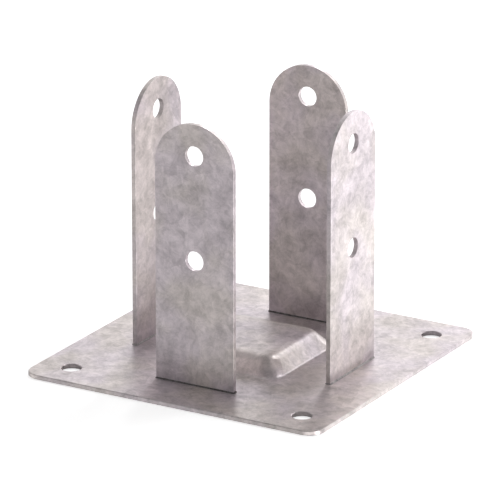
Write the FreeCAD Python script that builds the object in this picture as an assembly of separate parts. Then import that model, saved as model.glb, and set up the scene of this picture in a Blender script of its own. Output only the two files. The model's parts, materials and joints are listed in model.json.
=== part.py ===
"""Timber post base: a pressed steel plate with four upright straps that grip a square post.

Frame: millimetres, +Z up. The origin is the centre of the plate's underside, so the
concrete is at Z = 0. The front strap stands on the -Y side and the right strap on +X.
"""
import FreeCAD, Part
import math
import os

from FreeCAD import Vector

# The timber post that the straps hold
POST_WIDTH = 90.0
POST_CLEARANCE = 0.5          # gap between the post and each strap

# Base plate, one pressed sheet
PLATE_SIDE = 140.0
PLATE_T = 2.0
PLATE_CORNER_R = 7.5
ANCHOR_HOLE_D = 8.5
ANCHOR_INSET = 15.0           # plate edge to hole centre

# Raised pad that keeps the post's end grain off standing water
PAD_FOOT_SIDE = 52.0
PAD_TOP_SIDE = 40.0
PAD_RISE = 7.5
PAD_CORNER_R = 9.0            # rounding along the sloping corners, outside
PAD_RIDGE_R = 4.0             # inside bend radius under the top's edges
PAD_FOOT_R = 1.5              # inside bend radius where the walls leave the plate

# Straps, four alike
STRAP_W = 37.0
STRAP_T = 2.0
STRAP_LENGTH = 112.5
STRAP_HOLE_D = 8.5
STRAP_HOLE_FROM_TOP = 13.5
STRAP_HOLE_PITCH = 45.0
STRAP_HOLE_COUNT = 2

# Finish of the sheared edges and of the butt welds
EDGE_CHAMFER = 0.3
WELD_LEG = 0.6

STRAP_INNER = POST_WIDTH / 2 + POST_CLEARANCE
STRAP_MIDDLE = STRAP_INNER + STRAP_T / 2
STRAP_SIDES = ("front", "right", "back", "left")
NEAR = 1e-4


def at_height(shape, height):
    """The shape's edges that lie wholly in the level plane at this height."""
    return [
        edge for edge in shape.Edges
        if abs(edge.BoundBox.ZMin - height) < NEAR and abs(edge.BoundBox.ZMax - height) < NEAR
    ]


def within(edges, half):
    """Those of the edges that stay inside a centred square of this half side."""
    return [edge for edge in edges if max(abs(edge.BoundBox.XMin), abs(edge.BoundBox.XMax),
                                          abs(edge.BoundBox.YMin), abs(edge.BoundBox.YMax)) < half]


def square(side, height):
    """A centred square wire, level at this height."""
    half = side / 2
    corners = [Vector(x * half, y * half, height) for x, y in ((-1, -1), (1, -1), (1, 1), (-1, 1))]
    return Part.makePolygon(corners + corners[:1])


def frustum(foot_side, top_side, foot_height, rise, corner_r):
    """A truncated pyramid with its four sloping corners rounded."""
    ends = [square(foot_side, foot_height), square(top_side, foot_height + rise)]
    body = Part.makeLoft(ends, True, True)
    sloping = [edge for edge in body.Edges if edge.BoundBox.ZLength > rise / 2]
    return body.makeFillet(corner_r, sloping)


def flat_sheet():
    """The plate's blank: a square sheet with round corners."""
    half = PLATE_SIDE / 2
    sheet = Part.makeBox(PLATE_SIDE, PLATE_SIDE, PLATE_T, Vector(-half, -half, 0))
    upright = [edge for edge in sheet.Edges if edge.BoundBox.ZLength > PLATE_T / 2]
    return sheet.makeFillet(PLATE_CORNER_R, upright)


def base_plate():
    """The sheet with its pressed pad, of one thickness all over, and four anchor holes."""
    wall_angle = math.atan2(PAD_RISE, (PAD_FOOT_SIDE - PAD_TOP_SIDE) / 2)
    underside_inset = PLATE_T * math.tan(wall_angle / 2)

    raised = frustum(PAD_FOOT_SIDE, PAD_TOP_SIDE, PLATE_T, PAD_RISE, PAD_CORNER_R)
    ridge = at_height(raised, PLATE_T + PAD_RISE)
    raised = raised.makeFillet(PAD_RIDGE_R + PLATE_T, ridge)
    plate = flat_sheet().fuse(raised).removeSplitter()
    foot = within(at_height(plate, PLATE_T), PAD_FOOT_SIDE / 2 + NEAR)
    plate = plate.makeFillet(PAD_FOOT_R, foot)

    recess = frustum(PAD_FOOT_SIDE - 2 * underside_inset, PAD_TOP_SIDE - 2 * underside_inset,
                     0, PAD_RISE, PAD_CORNER_R - PLATE_T)
    recess = recess.makeFillet(PAD_RIDGE_R, at_height(recess, PAD_RISE))
    plate = plate.cut(recess)
    mouth = within(at_height(plate, 0), PAD_FOOT_SIDE / 2)
    plate = plate.makeFillet(PAD_FOOT_R + PLATE_T, mouth)

    reach = PLATE_SIDE / 2 - ANCHOR_INSET
    for x in (-reach, reach):
        for y in (-reach, reach):
            plate = plate.cut(Part.makeCylinder(ANCHOR_HOLE_D / 2, PLATE_T, Vector(x, y, 0)))
    sheared = [
        edge for edge in at_height(plate, 0) + at_height(plate, PLATE_T)
        if edge not in within(plate.Edges, STRAP_INNER)
    ]
    return plate.makeChamfer(EDGE_CHAMFER, sheared)


def front_strap():
    """A flat bar with a full-radius top, standing on the plate at the post's front face."""
    half = STRAP_W / 2
    outer = -(STRAP_INNER + STRAP_T)
    foot = PLATE_T
    shoulder = PLATE_T + STRAP_LENGTH - half
    corners = [Vector(x, outer, z) for x, z in ((-half, shoulder), (-half, foot), (half, foot), (half, shoulder))]
    crown = Part.Arc(corners[3], Vector(0, outer, shoulder + half), corners[0]).toShape()
    outline = Part.Wire(Part.makePolygon(corners).Edges + [crown])
    strap = Part.Face(outline).extrude(Vector(0, STRAP_T, 0))
    for row in range(STRAP_HOLE_COUNT):
        height = PLATE_T + STRAP_LENGTH - STRAP_HOLE_FROM_TOP - row * STRAP_HOLE_PITCH
        centre = Vector(0, outer, height)
        strap = strap.cut(Part.makeCylinder(STRAP_HOLE_D / 2, STRAP_T, centre, Vector(0, 1, 0)))
    sheared = [
        edge for edge in strap.Edges
        if edge.BoundBox.YLength < NEAR and edge.BoundBox.ZMax > foot + NEAR
    ]
    return strap.makeChamfer(EDGE_CHAMFER, sheared)


def front_weld(strap):
    """The thin collar of weld metal pressed out all round the front strap's foot."""
    def level(width, depth, height):
        corner = Vector(-width / 2, -STRAP_MIDDLE - depth / 2, height)
        return Part.makePlane(width, depth, corner).OuterWire

    spread = 2 * WELD_LEG
    collar = Part.makeLoft([level(STRAP_W + spread, STRAP_T + spread, PLATE_T),
                            level(STRAP_W, STRAP_T, PLATE_T + WELD_LEG)], True, True)
    return collar.cut(strap)


def turned(shape, quarter_turns):
    """A copy of the shape turned about the post's axis."""
    copy = shape.copy()
    copy.rotate(Vector(0, 0, 0), Vector(0, 0, 1), 90 * quarter_turns)
    return copy


def build():
    """Every piece of the post base, by node name."""
    strap = front_strap()
    weld = front_weld(strap)
    pieces = {"base_plate": base_plate()}
    for turn, side in enumerate(STRAP_SIDES):
        pieces["strap_" + side] = turned(strap, turn)
        pieces["weld_" + side] = turned(weld, turn)
    return pieces


os.makedirs("parts", exist_ok=True)
for name, shape in build().items():
    shape.exportStep("parts/" + name + ".step")
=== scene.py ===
"""Timber post base: the looks of a galvanised plate with four straps welded to it."""

import json
import math

import bmesh
import bpy
from bpy.props import FloatProperty, FloatVectorProperty, IntProperty, PointerProperty
from mathutils import Matrix, Vector


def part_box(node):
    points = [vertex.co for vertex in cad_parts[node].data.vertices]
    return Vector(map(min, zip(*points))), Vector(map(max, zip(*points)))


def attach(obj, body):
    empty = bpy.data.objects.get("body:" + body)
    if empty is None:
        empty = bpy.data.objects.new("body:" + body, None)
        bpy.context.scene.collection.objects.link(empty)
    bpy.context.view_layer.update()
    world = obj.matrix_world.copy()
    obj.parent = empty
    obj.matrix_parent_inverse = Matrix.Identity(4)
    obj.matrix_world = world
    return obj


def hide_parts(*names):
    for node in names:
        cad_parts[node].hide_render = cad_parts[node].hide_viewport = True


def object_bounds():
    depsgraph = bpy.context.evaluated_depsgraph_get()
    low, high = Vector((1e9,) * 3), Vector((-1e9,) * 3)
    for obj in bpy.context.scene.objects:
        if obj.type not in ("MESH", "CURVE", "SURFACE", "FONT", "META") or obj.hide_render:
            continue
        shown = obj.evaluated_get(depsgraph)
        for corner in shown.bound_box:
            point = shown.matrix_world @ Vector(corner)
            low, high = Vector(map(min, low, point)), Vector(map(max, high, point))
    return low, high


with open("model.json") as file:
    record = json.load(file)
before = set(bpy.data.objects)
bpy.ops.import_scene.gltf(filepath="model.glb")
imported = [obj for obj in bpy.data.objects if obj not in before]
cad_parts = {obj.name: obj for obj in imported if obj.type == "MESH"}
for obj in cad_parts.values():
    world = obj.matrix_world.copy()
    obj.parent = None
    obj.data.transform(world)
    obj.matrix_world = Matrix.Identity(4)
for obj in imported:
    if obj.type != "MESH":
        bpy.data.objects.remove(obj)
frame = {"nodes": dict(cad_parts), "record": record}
CAD_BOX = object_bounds()
RECORD = frame["record"]
MOUNTS = {mount["name"]: mount for mount in RECORD["mounts"]}
ZINC = "galvanised zinc"
# One weld metal in two copies: the dark one paints contact shade at the feet of the front
# and back straps, the lighter one paints light on the left and right seams
WELD = "weld metal"
LIT_WELD = "weld metal under zinc"

# Quarter turns about the upright axis from the front strap to each of the four
STRAP_TURNS = {"front": 0, "right": 1, "back": 2, "left": 3}
QUARTER_TURN = math.radians(90)
# The straps whose weld seams take the lighter copy of the weld metal, painted light; the
# front and back seams stay dark as painted contact shade
LIT_SEAM_SIDES = ("left", "right")
PLATE_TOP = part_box("strap_front")[0].z
MM_IN_METRE = 1000
# Points nearer than this lie in the same place
TOUCHING = 1e-6
# Faces that meet at less than this angle count as one flat face
FLAT = math.radians(0.5)
# Edges sharper than this stay crisp when the piece is shaded smooth
STRAP_CREASE = math.radians(40)
SEAM_CREASE = math.radians(50)
# Length of the drill bit, in thicknesses of the strap
BIT_LENGTH = 4

# Widths of the slower patterns, in widths of a cloud, a wisp, a crystal and a patch
DRIFT_WIDTH = 1.6
SWIRL_WIDTH = 2.2
WARP_WIDTH = 2
WELD_GRAIN_WIDTH = 0.3
# What each pattern adds to the tone of the zinc
TONE_SHARES = {
    "clouds": 0.30,
    "wisps": 0.47,
    "swirls": 0.06,
    "crystal": 0.07,
    "grain": 0.10,
}
# The part of each pattern's run that is spread from end to end
TONE_RANGE = (0.355, 0.665)
DRIFT_RANGE = (0.4, 0.6)
SWIRL_RANGE = (0.0, 0.09)
SCALE_RANGE = (0.35, 0.68)
WELD_GRAIN_RANGE = (0.3, 0.7)
# How far the zinc's roughness varies either way, and that of the weld
ROUGHNESS_SWING = 0.04
WELD_ROUGHNESS = (0.55, 0.8)
# How strongly the unevenness shows, and the share of it that the grain adds
ZINC_BUMP = 0.35
WELD_BUMP = 0.7
GRAIN_BUMP = 0.3

# Waves along the seam in radians for each pool of weld, along X and along Y
RIPPLE_X = 2.1
RIPPLE_Y = 1.7
RIPPLE_START_Y = 0.8
# Share of the way to the strap that the seam's top edge leans, and how far it varies
LEAN = 0.8
LEAN_SWING = 0.1
# The same at a corner, along its top and at its foot
CORNER_LEAN_TOP = 0.95
CORNER_LEAN_FOOT = 0.45
# How far the seam's top sinks, in depths of a ripple, and how far that varies
SINK = 0.5
SINK_SWING = 0.25

FLOOR_RADIUS = 12.0
FLOOR_SIDES = 64
# The floor under the plate stays this far inside its edges and this far below it
REST_INSET = 0.0005
REST_DROP = 0.0002
# Glows of the room: degrees from +X towards +Y, degrees above the floor, setting
ROOM_GLOWS = (
    (80, -20, "floor_behind"),
    (200, -20, "floor_left"),
    (300, -20, "floor_front"),
    (97, 15, "wall_behind"),
    (60, 15, "wall_right"),
    (210, 15, "wall_left"),
    (150, 40, "window"),
    (345, 60, "ceiling"),
)
# How fast a glow fades away from its middle
GLOW_FADE = 9.0
# Soft lamps: name, place, side of the square, setting of the power
SOFTBOXES = (
    ("high softbox", (0.48, 0.91, 1.28), 0.45, "high_lamp_power"),
    ("back softbox", (-0.32, 1.18, 1.08), 0.2, "back_lamp_power"),
    ("low softbox", (1.55, -0.27, -0.23), 0.2, "low_lamp_power"),
)
LAMP_TARGET = Vector((0.0, 0.0, 0.05))
# Width of the camera's sensor in millimetres, and how near and far it sees
CAMERA_SENSOR = 36.0
CAMERA_NEAR = 0.1
CAMERA_FAR = 60.0

bl_info = {
    "name": "Timber post base",
    "version": (1, 0, 0),
    "blender": (4, 5, 0),
    "location": "View3D > Sidebar > Post base",
    "description": "Dresses a galvanised timber post base",
    "category": "Object",
}


class PostBaseSteel(bpy.types.PropertyGroup):
    """The zinc coat that every piece of the post base wears."""

    light_zinc: FloatVectorProperty(
        name="Light zinc",
        description="Colour of the fresh, bright clouds in the zinc",
        subtype="COLOR",
        min=0.0,
        max=1.0,
        default=(0.81, 0.735, 0.72),
    )
    dark_zinc: FloatVectorProperty(
        name="Dark zinc",
        description="Colour of the dull clouds in the zinc",
        subtype="COLOR",
        min=0.0,
        max=1.0,
        default=(0.43, 0.388, 0.374),
    )
    light_zinc_cool: FloatVectorProperty(
        name="Light zinc, cool",
        description="Colour of the bright clouds where the zinc turns cooler",
        subtype="COLOR",
        min=0.0,
        max=1.0,
        default=(0.80, 0.72, 0.755),
    )
    dark_zinc_cool: FloatVectorProperty(
        name="Dark zinc, cool",
        description="Colour of the dull clouds where the zinc turns cooler",
        subtype="COLOR",
        min=0.0,
        max=1.0,
        default=(0.42, 0.375, 0.40),
    )
    metallic: FloatProperty(
        name="Metallic",
        description="How far the coat answers light as bare metal",
        min=0.0,
        max=1.0,
        default=0.58,
    )
    roughness: FloatProperty(
        name="Roughness",
        description="Mean roughness of the coat",
        min=0.0,
        max=1.0,
        default=0.38,
    )
    cloud_size: FloatProperty(
        name="Cloud size",
        description="Width of the broad clouds",
        unit="LENGTH",
        default=0.016,
    )
    wisp_size: FloatProperty(
        name="Wisp size",
        description="Width of the small wisps inside the clouds",
        unit="LENGTH",
        default=0.0042,
    )
    spangle_size: FloatProperty(
        name="Spangle size",
        description="Width of one zinc crystal",
        unit="LENGTH",
        default=0.0065,
    )
    grain_size: FloatProperty(
        name="Grain size",
        description="Width of the finest grain in the coat",
        unit="LENGTH",
        default=0.0006,
    )
    relief: FloatProperty(
        name="Relief",
        description="Height of the coat's unevenness",
        unit="LENGTH",
        default=0.00006,
    )


class PostBaseStrap(bpy.types.PropertyGroup):
    """Finish of the four upright straps."""

    edge_radius: FloatProperty(
        name="Edge radius",
        description="Rounding that the zinc gives to the sheared edges",
        unit="LENGTH",
        default=0.0003,
    )
    edge_steps: IntProperty(
        name="Edge steps",
        description="Strips that each rounded edge is made of",
        default=3,
        min=1,
    )
    crown_steps: IntProperty(
        name="Crown steps",
        description="Sides of the full circle that the crown is half of",
        default=128,
        min=16,
    )
    hole_steps: IntProperty(
        name="Hole steps",
        description="Sides of each bolt hole",
        default=64,
        min=16,
    )


class PostBaseWeld(bpy.types.PropertyGroup):
    """The thin seam that fastens each strap's foot."""

    ripple_pitch: FloatProperty(
        name="Ripple pitch",
        description="Distance along the seam from one pool of weld to the next",
        unit="LENGTH",
        default=0.0011,
    )
    ripple_depth: FloatProperty(
        name="Ripple depth",
        description="How far the seam swells and sinks along its run",
        unit="LENGTH",
        default=0.00012,
    )
    edge_radius: FloatProperty(
        name="Edge radius",
        description="Rounding of the seam's edges",
        unit="LENGTH",
        default=0.0001,
    )
    edge_steps: IntProperty(
        name="Edge steps",
        description="Strips that each rounded edge is made of",
        default=2,
        min=1,
    )
    metallic: FloatProperty(
        name="Metallic",
        description="How far the weld answers light as bare metal",
        min=0.0,
        max=1.0,
        default=0.6,
    )
    relief: FloatProperty(
        name="Relief",
        description="Height of the scale's unevenness",
        unit="LENGTH",
        default=0.00008,
    )
    scale_size: FloatProperty(
        name="Scale size",
        description="Width of the patches of burnt scale",
        unit="LENGTH",
        default=0.0016,
    )
    # The front and back seams' colours are darkened to paint the contact shade at the
    # straps' feet
    shaded_metal_colour: FloatVectorProperty(
        name="Shaded metal colour",
        description="Colour of the bare weld on the front and back seams, darkened as painted shade",
        subtype="COLOR",
        min=0.0,
        max=1.0,
        default=(0.26, 0.245, 0.245),
    )
    shaded_burnt_colour: FloatVectorProperty(
        name="Shaded burnt colour",
        description="Colour of the scale on the front and back seams, darkened as painted shade",
        subtype="COLOR",
        min=0.0,
        max=1.0,
        default=(0.07, 0.063, 0.063),
    )
    # The left and right seams' colours are the same weld lightened as painted light
    lit_seam_light: FloatVectorProperty(
        name="Lit seam, light",
        description="Lighter colour of the left and right seams, painted light",
        subtype="COLOR",
        min=0.0,
        max=1.0,
        default=(0.58, 0.54, 0.54),
    )
    lit_seam_dark: FloatVectorProperty(
        name="Lit seam, dark",
        description="Darker colour of the left and right seams, lightened as painted light",
        subtype="COLOR",
        min=0.0,
        max=1.0,
        default=(0.28, 0.26, 0.26),
    )


class PostBaseStage(bpy.types.PropertyGroup):
    """Floor, lamps and camera."""

    camera_turn: FloatProperty(
        name="Camera turn",
        description="Angle of the camera round the plate, from the front to the right",
        subtype="ANGLE",
        default=math.radians(30.2),
    )
    camera_lift: FloatProperty(
        name="Camera lift",
        description="Angle of the camera above the plate",
        subtype="ANGLE",
        default=math.radians(19.22),
    )
    camera_distance: FloatProperty(
        name="Camera distance",
        description="From the camera to the middle of the plate",
        unit="LENGTH",
        default=2.2302,
    )
    camera_lens: FloatProperty(
        name="Camera lens",
        description="Focal length",
        subtype="DISTANCE_CAMERA",
        default=384.2,
    )
    aim: FloatVectorProperty(
        name="Aim",
        description="Shift of the aim from the plate's middle, rightwards and upwards",
        size=2,
        unit="LENGTH",
        default=(-0.0012, 0.04217),
    )
    floor_colour: FloatVectorProperty(
        name="Floor colour",
        description="Colour of the pale floor",
        subtype="COLOR",
        min=0.0,
        max=1.0,
        default=(0.8, 0.8, 0.8),
    )
    floor_lift: FloatProperty(
        name="Floor lift",
        description="Paleness added to the floor where the camera sees it",
        default=0.62,
        min=0.0,
    )
    floor_behind: FloatProperty(
        name="Floor behind",
        description="Brightness of the floor behind the post base",
        default=2.7,
        min=0.0,
    )
    floor_left: FloatProperty(
        name="Floor on the left",
        description="Brightness of the floor on the left",
        default=2.2,
        min=0.0,
    )
    floor_front: FloatProperty(
        name="Floor in front",
        description="Brightness of the floor in front, to the right",
        default=2.7,
        min=0.0,
    )
    wall_behind: FloatProperty(
        name="Wall behind",
        description="Brightness of the wall behind",
        default=2.3,
        min=0.0,
    )
    wall_right: FloatProperty(
        name="Wall behind on the right",
        description="Brightness of the wall behind, to the right",
        default=1.25,
        min=0.0,
    )
    wall_left: FloatProperty(
        name="Wall on the left",
        description="Brightness of the wall on the left",
        default=1.5,
        min=0.0,
    )
    ceiling: FloatProperty(
        name="Ceiling",
        description="Brightness of the ceiling, to the right",
        default=0.5,
        min=0.0,
    )
    window: FloatProperty(
        name="Window",
        description="Brightness of the high window behind, to the left",
        default=1.5,
        min=0.0,
    )
    high_lamp_power: FloatProperty(
        name="High lamp power",
        description="Power of the soft lamp high up behind, to the right",
        unit="POWER",
        default=5.5,
    )
    low_lamp_power: FloatProperty(
        name="Low lamp power",
        description="Power of the soft lamp low down on the right",
        unit="POWER",
        default=19.0,
    )
    back_lamp_power: FloatProperty(
        name="Back lamp power",
        description="Power of the soft lamp behind, to the left",
        unit="POWER",
        default=2.7,
    )


# ---------------------------------------------------------------- modelling helpers


def deselect_all():
    """Leaves edit mode and clears the selection."""
    if bpy.context.mode != "OBJECT":
        bpy.ops.object.mode_set(mode="OBJECT")
    bpy.ops.object.select_all(action="DESELECT")


def select_only(piece):
    """Makes one object the only selected and active one."""
    deselect_all()
    piece.select_set(True)
    bpy.context.view_layer.objects.active = piece


def settle(piece):
    """Moves the object's place, turn and scale into its mesh."""
    select_only(piece)
    bpy.ops.object.transform_apply(location=True, rotation=True, scale=True)


def select_vertices(test):
    """In edit mode, selects only the vertices that pass the test."""
    bpy.ops.mesh.select_mode(type="VERT")
    bpy.ops.mesh.select_all(action="DESELECT")
    mesh = bpy.context.object.data
    shape = bmesh.from_edit_mesh(mesh)
    for vertex in shape.verts:
        if test(vertex):
            vertex.select_set(True)
    shape.select_flush_mode()
    bmesh.update_edit_mesh(mesh)


def extrude(offset):
    """Extrudes the selection by an offset."""
    bpy.ops.mesh.extrude_region_move(TRANSFORM_OT_translate={"value": tuple(offset)})


def add_modifier(piece, kind, **settings):
    """Adds a modifier with these settings and applies it."""
    select_only(piece)
    bpy.ops.object.modifier_add(type=kind)
    modifier = piece.modifiers[-1]
    for name, value in settings.items():
        setattr(modifier, name, value)
    bpy.ops.object.modifier_apply(modifier=modifier.name)


def drill(piece, centre, radius, depth, steps, rotation):
    """Cuts one round hole through a piece."""
    deselect_all()
    bpy.ops.mesh.primitive_cylinder_add(
        vertices=steps, radius=radius, depth=depth, location=centre, rotation=rotation
    )
    drill_bit = bpy.context.object
    add_modifier(
        piece, "BOOLEAN", operation="DIFFERENCE", solver="EXACT", object=drill_bit
    )
    bpy.data.objects.remove(drill_bit)


def copies_round(pattern):
    """Copies a piece to each side in turn, giving the side and the copy."""
    for side, turns in STRAP_TURNS.items():
        select_only(pattern)
        bpy.ops.object.duplicate(linked=False)
        piece = bpy.context.object
        piece.rotation_euler.z = QUARTER_TURN * turns
        settle(piece)
        yield side, piece


def finish_piece(piece, node, name, material):
    """Names a piece, gives it its coat and lets it stand for its CAD node."""
    piece.name = name
    piece.data.name = name
    piece.data.materials.clear()
    piece.data.materials.append(material)
    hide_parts(node)
    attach(piece, "root")


# ---------------------------------------------------------------- material


def add_node(tree, kind, inputs=None, **settings):
    """Adds one shader node; an input is a value or another node's socket."""
    node = tree.nodes.new(kind)
    for name, value in settings.items():
        setattr(node, name, value)
    for name, value in (inputs or {}).items():
        socket = node.inputs[name]
        if isinstance(value, bpy.types.NodeSocket):
            tree.links.new(value, socket)
        else:
            socket.default_value = value
    return node


def maths(tree, operation, *values):
    """A Math node's result for values or sockets."""
    inputs = dict(enumerate(values))
    return add_node(tree, "ShaderNodeMath", inputs, operation=operation).outputs[0]


def noise(tree, place, size, detail, roughness, distortion=0.0, output="Fac"):
    """A noise whose features are about this wide."""
    inputs = {"Vector": place, "Scale": 1 / size, "Detail": detail}
    inputs |= {"Roughness": roughness, "Distortion": distortion}
    return add_node(tree, "ShaderNodeTexNoise", inputs).outputs[output]


def ramp(tree, value, given, made=(0.0, 1.0)):
    """Maps a value from the given range to the made one and holds it there."""
    inputs = {"Value": value, "From Min": given[0], "From Max": given[1]}
    inputs |= {"To Min": made[0], "To Max": made[1]}
    return add_node(tree, "ShaderNodeMapRange", inputs).outputs[0]


def bump(tree, shader, strength, relief, height):
    """Gives a shader an unevenness of this strength and height."""
    inputs = {"Strength": strength, "Distance": relief, "Height": height}
    uneven = add_node(tree, "ShaderNodeBump", inputs).outputs[0]
    tree.links.new(uneven, shader.inputs["Normal"])


def blend_colours(tree, factor, first, second):
    """Mixes two colours, each a value or a socket."""
    mix = add_node(tree, "ShaderNodeMix", {"Factor": factor}, data_type="RGBA")
    # A colour Mix node names its colour sockets like its hidden float ones
    ends = [socket for socket in mix.inputs if socket.type == "RGBA"]
    for socket, colour in zip(ends, (first, second)):
        if isinstance(colour, bpy.types.NodeSocket):
            tree.links.new(colour, socket)
        else:
            socket.default_value = (*colour, 1.0)
    return next(socket for socket in mix.outputs if socket.type == "RGBA")


def new_material(name):
    """A new material, its node tree and its shader."""
    made = bpy.data.materials.new(name)
    made.use_nodes = True
    return made, made.node_tree, made.node_tree.nodes["Principled BSDF"]


def swirls(tree, place, size):
    """Thin dark lines where a winding field crosses its middle value."""
    field = noise(tree, place, size, detail=3.0, roughness=0.6, distortion=2.4)
    away = maths(tree, "ABSOLUTE", maths(tree, "SUBTRACT", field, 0.5))
    return ramp(tree, away, SWIRL_RANGE)


def crystals(tree, place, size):
    """A tone of its own for each zinc crystal of about this width."""
    width = WARP_WIDTH * size
    warp = noise(tree, place, width, detail=3.0, roughness=0.6, output="Color")
    inputs = {0: warp, 1: (size, size, size), 2: place}
    bent = add_node(tree, "ShaderNodeVectorMath", inputs, operation="MULTIPLY_ADD")
    inputs = {"Vector": bent.outputs[0], "Scale": 1 / size}
    cells = add_node(tree, "ShaderNodeTexVoronoi", inputs).outputs["Color"]
    return add_node(tree, "ShaderNodeSeparateColor", {"Color": cells}).outputs["Red"]


def zinc_material():
    """Hot-dip zinc: broad clouds, small wisps and swirls, faint crystals and grain."""
    if ZINC in bpy.data.materials:
        return bpy.data.materials[ZINC]
    steel = bpy.context.scene.post_base_steel
    made, tree, shader = new_material(ZINC)
    place = add_node(tree, "ShaderNodeTexCoord").outputs["Object"]

    patterns = {
        "clouds": noise(
            tree, place, steel.cloud_size, detail=4.0, roughness=0.6, distortion=0.6
        ),
        "wisps": noise(
            tree, place, steel.wisp_size, detail=4.0, roughness=0.6, distortion=0.7
        ),
        "swirls": swirls(tree, place, SWIRL_WIDTH * steel.wisp_size),
        "crystal": crystals(tree, place, steel.spangle_size),
        "grain": noise(tree, place, steel.grain_size, detail=2.0, roughness=0.5),
    }
    tone = 0.0
    for name, share in TONE_SHARES.items():
        tone = maths(tree, "MULTIPLY_ADD", patterns[name], share, tone)
    tone = ramp(tree, tone, TONE_RANGE)
    width = DRIFT_WIDTH * steel.cloud_size
    drift = noise(tree, place, width, detail=2.0, roughness=0.5, distortion=0.3)
    warmth = ramp(tree, drift, DRIFT_RANGE)
    dull = blend_colours(tree, warmth, steel.dark_zinc_cool, steel.dark_zinc)
    bright = blend_colours(tree, warmth, steel.light_zinc_cool, steel.light_zinc)
    colour = blend_colours(tree, tone, dull, bright)
    tree.links.new(colour, shader.inputs["Base Color"])

    dullest = steel.roughness + ROUGHNESS_SWING
    brightest = steel.roughness - ROUGHNESS_SWING
    rough = ramp(tree, tone, (0.0, 1.0), (dullest, brightest))
    tree.links.new(rough, shader.inputs["Roughness"])
    shader.inputs["Metallic"].default_value = steel.metallic

    grain, wisps = patterns["grain"], patterns["wisps"]
    height = maths(tree, "MULTIPLY_ADD", grain, GRAIN_BUMP, wisps)
    bump(tree, shader, ZINC_BUMP, steel.relief, height)
    return made


def weld_material(lit_seam):
    """Weld metal with random scale: darkened as painted contact shade on the front and
    back seams, lighter as painted light on the left and right seams.
    """
    name = LIT_WELD if lit_seam else WELD
    if name in bpy.data.materials:
        return bpy.data.materials[name]
    weld = bpy.context.scene.post_base_weld
    # The lighter pair of colours paints light, the darker pair paints contact shade
    dark = weld.lit_seam_dark if lit_seam else weld.shaded_burnt_colour
    light = weld.lit_seam_light if lit_seam else weld.shaded_metal_colour
    made, tree, shader = new_material(name)
    place = add_node(tree, "ShaderNodeTexCoord").outputs["Object"]
    width = weld.scale_size
    scale = noise(tree, place, width, detail=4.0, roughness=0.6, distortion=0.8)
    grain = noise(tree, place, WELD_GRAIN_WIDTH * width, detail=2.0, roughness=0.5)
    colour = blend_colours(tree, ramp(tree, scale, SCALE_RANGE), dark, light)
    tree.links.new(colour, shader.inputs["Base Color"])
    rough = ramp(tree, grain, WELD_GRAIN_RANGE, WELD_ROUGHNESS)
    tree.links.new(rough, shader.inputs["Roughness"])
    shader.inputs["Metallic"].default_value = weld.metallic
    bump(tree, shader, WELD_BUMP, weld.relief, scale)
    return made


# ---------------------------------------------------------------- operators


class POSTBASE_OT_plate(bpy.types.Operator):
    """Gives the pressed base plate its zinc coat"""

    bl_idname = "postbase.finish_plate"
    bl_label = "Finish the base plate"

    def execute(self, context):
        plate = frame["nodes"]["base_plate"]
        for slot in plate.material_slots:
            slot.material = zinc_material()
        return {"FINISHED"}


class POSTBASE_OT_straps(bpy.types.Operator):
    """Models one strap with its crown, holes and soft edges, and copies it round"""

    bl_idname = "postbase.make_straps"
    bl_label = "Make the straps"

    def execute(self, context):
        sizes = context.scene.post_base_strap
        low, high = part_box("strap_front")
        half = (high.x - low.x) / 2
        thickness = high.y - low.y
        crown = high.z - half
        upright = (QUARTER_TURN, 0.0, 0.0)

        deselect_all()
        bpy.ops.mesh.primitive_circle_add(
            vertices=sizes.crown_steps,
            radius=half,
            fill_type="NGON",
            location=(0.0, high.y, crown),
            rotation=upright,
        )
        strap = context.object
        settle(strap)
        bpy.ops.object.mode_set(mode="EDIT")
        bpy.ops.mesh.select_all(action="SELECT")
        bpy.ops.mesh.bisect(
            plane_co=(0.0, 0.0, crown), plane_no=(0.0, 0.0, 1.0), clear_inner=True
        )
        select_vertices(lambda vertex: abs(vertex.co.z - crown) < TOUCHING)
        extrude((0.0, 0.0, low.z - crown))
        bpy.ops.mesh.select_all(action="SELECT")
        extrude((0.0, -thickness, 0.0))
        bpy.ops.mesh.select_all(action="SELECT")
        bpy.ops.mesh.remove_doubles(threshold=TOUCHING)
        bpy.ops.mesh.dissolve_limited(angle_limit=FLAT)
        bpy.ops.mesh.select_all(action="SELECT")
        bpy.ops.mesh.normals_make_consistent(inside=False)
        deselect_all()

        bolts = MOUNTS["post_bolts_front"]
        count = bolts["dims"]["count"]
        pitch = bolts["dims"]["spacing_y_mm"] / MM_IN_METRE
        for level in range(count):
            height = bolts["pos_m"][2] + pitch * (level - (count - 1) / 2)
            drill(
                strap,
                (0.0, (low.y + high.y) / 2, height),
                bolts["dims"]["hole_r_mm"] / MM_IN_METRE,
                BIT_LENGTH * thickness,
                sizes.hole_steps,
                upright,
            )
        add_modifier(
            strap,
            "BEVEL",
            width=sizes.edge_radius,
            segments=sizes.edge_steps,
            limit_method="ANGLE",
            angle_limit=STRAP_CREASE,
        )
        select_only(strap)
        bpy.ops.object.shade_smooth_by_angle(angle=STRAP_CREASE)
        add_modifier(strap, "WEIGHTED_NORMAL", keep_sharp=True, weight=100)

        zinc = zinc_material()
        for side, piece in copies_round(strap):
            finish_piece(piece, f"strap_{side}", f"upright_strap_{side}", zinc)
        bpy.data.objects.remove(strap)
        return {"FINISHED"}


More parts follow.
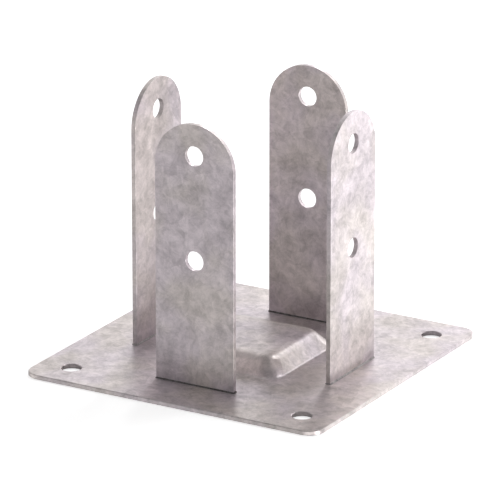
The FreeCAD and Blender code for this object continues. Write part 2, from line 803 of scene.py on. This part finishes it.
class POSTBASE_OT_welds(bpy.types.Operator):
    """Models one rippled weld seam round a strap's foot and copies it round"""

    bl_idname = "postbase.make_welds"
    bl_label = "Make the welds"

    def execute(self, context):
        weld = context.scene.post_base_weld
        low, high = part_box("weld_front")
        foot_low, foot_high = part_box("strap_front")
        leg = foot_low.x - low.x
        middle = (low + high) / 2

        # A flat ring round the foot, raised into a collar
        deselect_all()
        bpy.ops.mesh.primitive_plane_add(size=1.0, location=(middle.x, middle.y, low.z))
        seam = context.object
        seam.scale = (high.x - low.x, high.y - low.y, 1.0)
        settle(seam)
        bpy.ops.object.mode_set(mode="EDIT")
        bpy.ops.mesh.select_all(action="SELECT")
        bpy.ops.mesh.inset(thickness=leg, depth=0.0)
        bpy.ops.mesh.delete(type="FACE")
        bpy.ops.mesh.select_all(action="SELECT")
        extrude((0.0, 0.0, high.z - low.z))
        bpy.ops.mesh.select_all(action="SELECT")
        bpy.ops.mesh.normals_make_consistent(inside=False)

        # Cut across its run at each pool, then lean its outer top edge in
        for axis in (0, 1):
            normal = [0.0, 0.0, 0.0]
            normal[axis] = 1.0
            run = high[axis] - low[axis]
            steps = max(2, round(run / weld.ripple_pitch))
            for step in range(1, steps):
                spot = [middle.x, middle.y, middle.z]
                spot[axis] = low[axis] + run * step / steps
                bpy.ops.mesh.select_all(action="SELECT")
                bpy.ops.mesh.bisect(plane_co=spot, plane_no=normal)
        deselect_all()
        self.shape_slope(seam, low, high, foot_low, foot_high, weld)
        add_modifier(
            seam,
            "BEVEL",
            width=weld.edge_radius,
            segments=weld.edge_steps,
            limit_method="ANGLE",
        )
        select_only(seam)
        bpy.ops.object.shade_smooth_by_angle(angle=SEAM_CREASE)

        for side, piece in copies_round(seam):
            # Left and right seams get the lit copy, front and back the shaded one: painted
            # light and painted shade
            metal = weld_material(lit_seam=side in LIT_SEAM_SIDES)
            finish_piece(piece, f"weld_{side}", f"weld_seam_{side}", metal)
        bpy.data.objects.remove(seam)
        return {"FINISHED"}

    def shape_slope(self, seam, low, high, foot_low, foot_high, weld):
        """Leans the outer top edge in, unevenly, and rounds the four corners."""
        for vertex in seam.data.vertices:
            pools_x, pools_y = (place / weld.ripple_pitch for place in vertex.co[:2])
            wave = math.sin(RIPPLE_X * pools_x)
            wave += math.sin(RIPPLE_Y * pools_y + RIPPLE_START_Y)
            at_top = vertex.co.z > high.z - TOUCHING
            # How far each outer side that the vertex lies on is from the strap
            gaps = [
                (axis, foot[axis] - edge[axis])
                for axis in (0, 1)
                for edge, foot in ((low, foot_low), (high, foot_high))
                if abs(vertex.co[axis] - edge[axis]) < TOUCHING
            ]
            lean = LEAN + LEAN_SWING * wave if at_top else 0.0
            if len(gaps) == 2:
                lean = CORNER_LEAN_TOP if at_top else CORNER_LEAN_FOOT
            for axis, gap in gaps:
                vertex.co[axis] += lean * gap
            if at_top:
                vertex.co.z -= weld.ripple_depth * (SINK + SINK_SWING * wave)


class POSTBASE_OT_stage(bpy.types.Operator):
    """Lays the floor, hangs the soft lamps and stands the camera"""

    bl_idname = "postbase.set_stage"
    bl_label = "Set the stage"

    def execute(self, context):
        stage = context.scene.post_base_stage
        self.lay_floor(stage)
        self.light_room(context, stage)
        for name, place, size, power in SOFTBOXES:
            self.hang_lamp(name, place, size, getattr(stage, power))
        self.stand_camera(context, stage)
        context.scene.view_settings.view_transform = "Standard"
        return {"FINISHED"}

    def lay_floor(self, stage):
        """Lays the pale floor, and a patch of it under the plate that stops light."""
        deselect_all()
        bpy.ops.mesh.primitive_circle_add(
            vertices=FLOOR_SIDES, radius=FLOOR_RADIUS, fill_type="NGON"
        )
        floor = bpy.context.object
        floor.name = "floor"
        paint = bpy.data.materials.new("pale floor")
        paint.use_nodes = True
        tree = paint.node_tree
        tree.nodes.clear()
        seen = add_node(tree, "ShaderNodeLightPath").outputs["Is Camera Ray"]
        inputs = {"Color": (*stage.floor_colour, 1.0)}
        matt = add_node(tree, "ShaderNodeBsdfDiffuse", inputs).outputs[0]
        lift = maths(tree, "MULTIPLY", seen, stage.floor_lift)
        glow = add_node(tree, "ShaderNodeEmission", {"Strength": lift}).outputs[0]
        both = add_node(tree, "ShaderNodeAddShader", {0: matt, 1: glow}).outputs[0]
        add_node(tree, "ShaderNodeOutputMaterial", {"Surface": both})
        floor.data.materials.append(paint)
        # The room's low glows stand for the floor's light, so it blocks none of them
        floor.visible_diffuse = floor.visible_glossy = floor.visible_shadow = False
        deselect_all()
        width = CAD_BOX[1].x - CAD_BOX[0].x - 2 * REST_INSET
        bpy.ops.mesh.primitive_plane_add(size=width, location=(0.0, 0.0, -REST_DROP))
        rest = bpy.context.object
        rest.name = "floor under the plate"
        rest.data.materials.append(paint)

    def light_room(self, context, stage):
        """Makes the room a sum of soft glows, and plain white to the camera."""
        world = bpy.data.worlds.new("studio")
        context.scene.world = world
        world.use_nodes = True
        tree = world.node_tree
        tree.nodes.clear()
        seen = add_node(tree, "ShaderNodeLightPath").outputs["Is Camera Ray"]
        direction = add_node(tree, "ShaderNodeTexCoord").outputs["Generated"]
        level = 0.0
        for turn, lift, name in ROOM_GLOWS:
            glow = self.glow(tree, direction, turn, lift, getattr(stage, name))
            level = maths(tree, "ADD", glow, level)
        unseen = maths(tree, "SUBTRACT", 1.0, seen)
        level = maths(tree, "ADD", maths(tree, "MULTIPLY", level, unseen), seen)
        light = add_node(tree, "ShaderNodeBackground", {"Strength": level}).outputs[0]
        add_node(tree, "ShaderNodeOutputWorld", {"Surface": light})

    def glow(self, tree, direction, turn, lift, strength):
        """A soft round glow on the room, at a turn and a lift in degrees."""
        turn, lift = math.radians(turn), math.radians(lift)
        level = math.cos(lift)
        middle = (level * math.cos(turn), level * math.sin(turn), math.sin(lift))
        inputs = {0: direction, 1: middle}
        near = add_node(tree, "ShaderNodeVectorMath", inputs, operation="DOT_PRODUCT")
        near = near.outputs["Value"]
        fade = maths(tree, "MULTIPLY_ADD", near, GLOW_FADE, -GLOW_FADE)
        return maths(tree, "MULTIPLY", maths(tree, "EXPONENT", fade), strength)

    def hang_lamp(self, name, place, size, power):
        """Hangs one square soft lamp, turned to the post base."""
        lamp = bpy.data.lights.new(name, "AREA")
        lamp.shape = "SQUARE"
        lamp.size = size
        lamp.energy = power
        holder = bpy.data.objects.new(name, lamp)
        bpy.context.scene.collection.objects.link(holder)
        holder.location = place
        aim = LAMP_TARGET - holder.location
        holder.rotation_euler = aim.to_track_quat("-Z", "Y").to_euler()

    def stand_camera(self, context, stage):
        """Stands the camera back from the plate along its turn and lift."""
        turn, lift = stage.camera_turn, stage.camera_lift
        level = math.cos(lift)
        back = Vector((math.sin(turn) * level, -math.cos(turn) * level, math.sin(lift)))
        right = Vector((math.cos(turn), math.sin(turn), 0.0))
        up = back.cross(right)
        lens = bpy.data.cameras.new("camera")
        lens.sensor_width = CAMERA_SENSOR
        lens.lens = stage.camera_lens
        lens.clip_start, lens.clip_end = CAMERA_NEAR, CAMERA_FAR
        camera = bpy.data.objects.new("camera", lens)
        context.scene.collection.objects.link(camera)
        place = (
            Vector((0.0, 0.0, PLATE_TOP))
            + back * stage.camera_distance
            + right * stage.aim[0]
            + up * stage.aim[1]
        )
        facing = Matrix((right, up, back)).transposed().to_4x4()
        camera.matrix_world = Matrix.Translation(place) @ facing
        context.scene.camera = camera


class POSTBASE_PT_panel(bpy.types.Panel):
    """Lists the steps and the sizes"""

    bl_idname = "POSTBASE_PT_panel"
    bl_label = "Post base"
    bl_space_type = "VIEW_3D"
    bl_region_type = "UI"
    bl_category = "Post base"

    def draw(self, context):
        for step in STEPS:
            self.layout.operator(step.bl_idname)
        for group_name, group in GROUPS.items():
            box = self.layout.box()
            settings = getattr(context.scene, group_name)
            for name in group.__annotations__:
                box.prop(settings, name)


GROUPS = {
    "post_base_steel": PostBaseSteel,
    "post_base_strap": PostBaseStrap,
    "post_base_weld": PostBaseWeld,
    "post_base_stage": PostBaseStage,
}
STEPS = (
    POSTBASE_OT_plate,
    POSTBASE_OT_straps,
    POSTBASE_OT_welds,
    POSTBASE_OT_stage,
)
CLASSES = (*GROUPS.values(), *STEPS, POSTBASE_PT_panel)


def register():
    """Registers the classes and puts the settings on the scene."""
    for cls in CLASSES:
        bpy.utils.register_class(cls)
    for name, group in GROUPS.items():
        setattr(bpy.types.Scene, name, PointerProperty(type=group))


def unregister():
    """Takes the settings and the classes away again."""
    for name in GROUPS:
        delattr(bpy.types.Scene, name)
    for cls in reversed(CLASSES):
        bpy.utils.unregister_class(cls)


def main():
    """Makes every piece and the stage."""
    register()
    bpy.ops.postbase.finish_plate()
    bpy.ops.postbase.make_straps()
    bpy.ops.postbase.make_welds()
    bpy.ops.postbase.set_stage()


if __name__ == "__main__":
    main()
